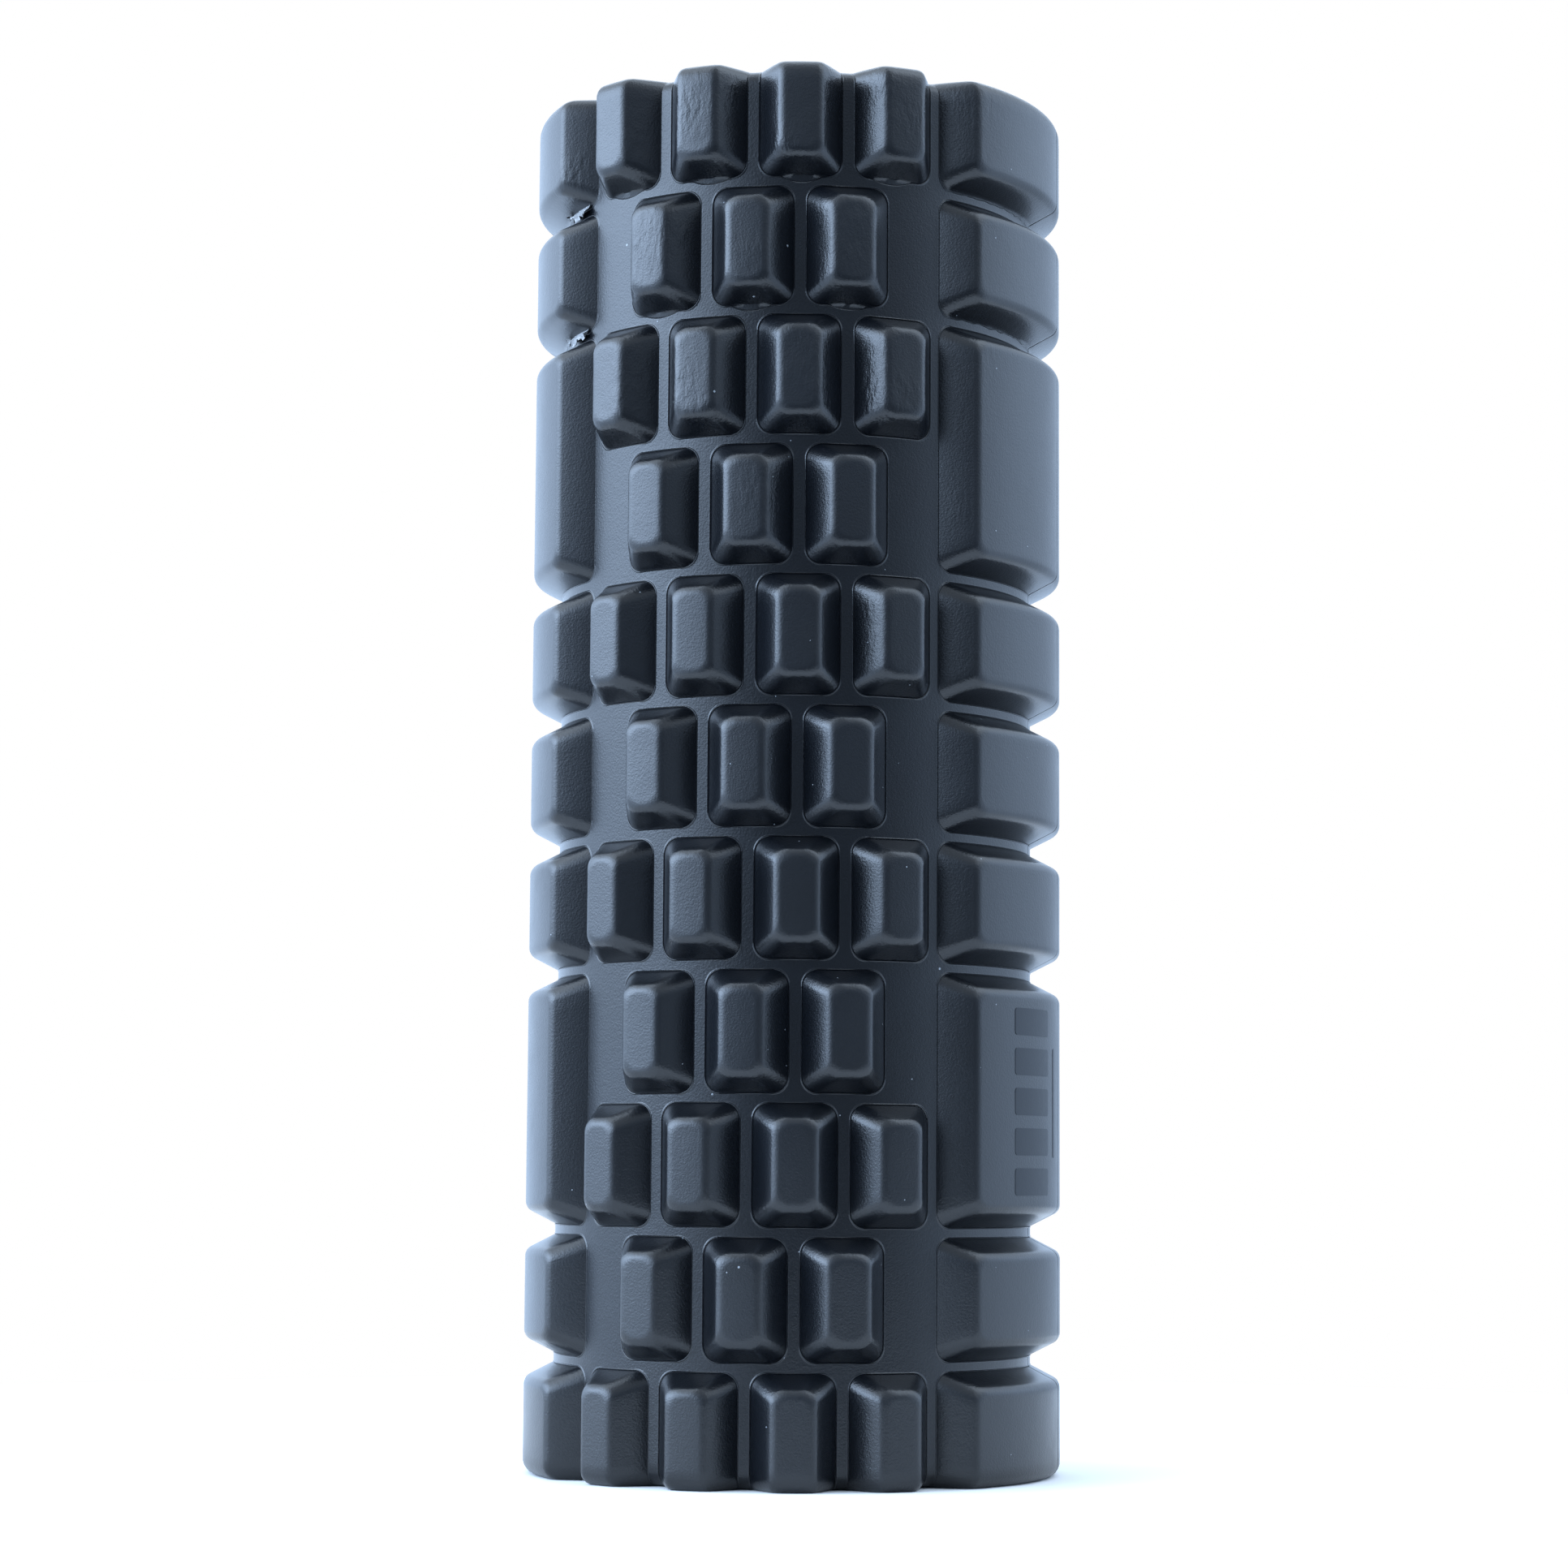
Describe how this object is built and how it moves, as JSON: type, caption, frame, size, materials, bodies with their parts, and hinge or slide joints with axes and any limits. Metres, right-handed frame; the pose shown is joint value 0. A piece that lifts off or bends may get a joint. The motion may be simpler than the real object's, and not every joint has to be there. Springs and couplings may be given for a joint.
{
  "type": "foam roller",
  "caption": "Hollow foam massage roller: a rigid core tube in a moulded foam sleeve with zones of small raised pads and of wide raised bands.",
  "frame": {"origin": "centre of the roller's lower end face, where its axis meets the surface that it stands on", "axes": "+Z along the roller's axis, up through the bore; -Y towards the middle of the front shell's small pads; +X towards the seam beside the printed mark"},
  "size_m": [0.13, 0.13, 0.332],
  "materials": {
    "foam": "satin, closed-cell EVA foam",
    "core": "satin, extruded plastic",
    "bond": "matte, dried contact adhesive",
    "ink": "semi-gloss printed ink"
  },
  "bodies": {
    "root": {"core_tube": "core", "bond_film": "bond", "foam_shell_front": "foam", "foam_shell_back": "foam", "printed_mark": "ink"}
  },
  "joints": []
}
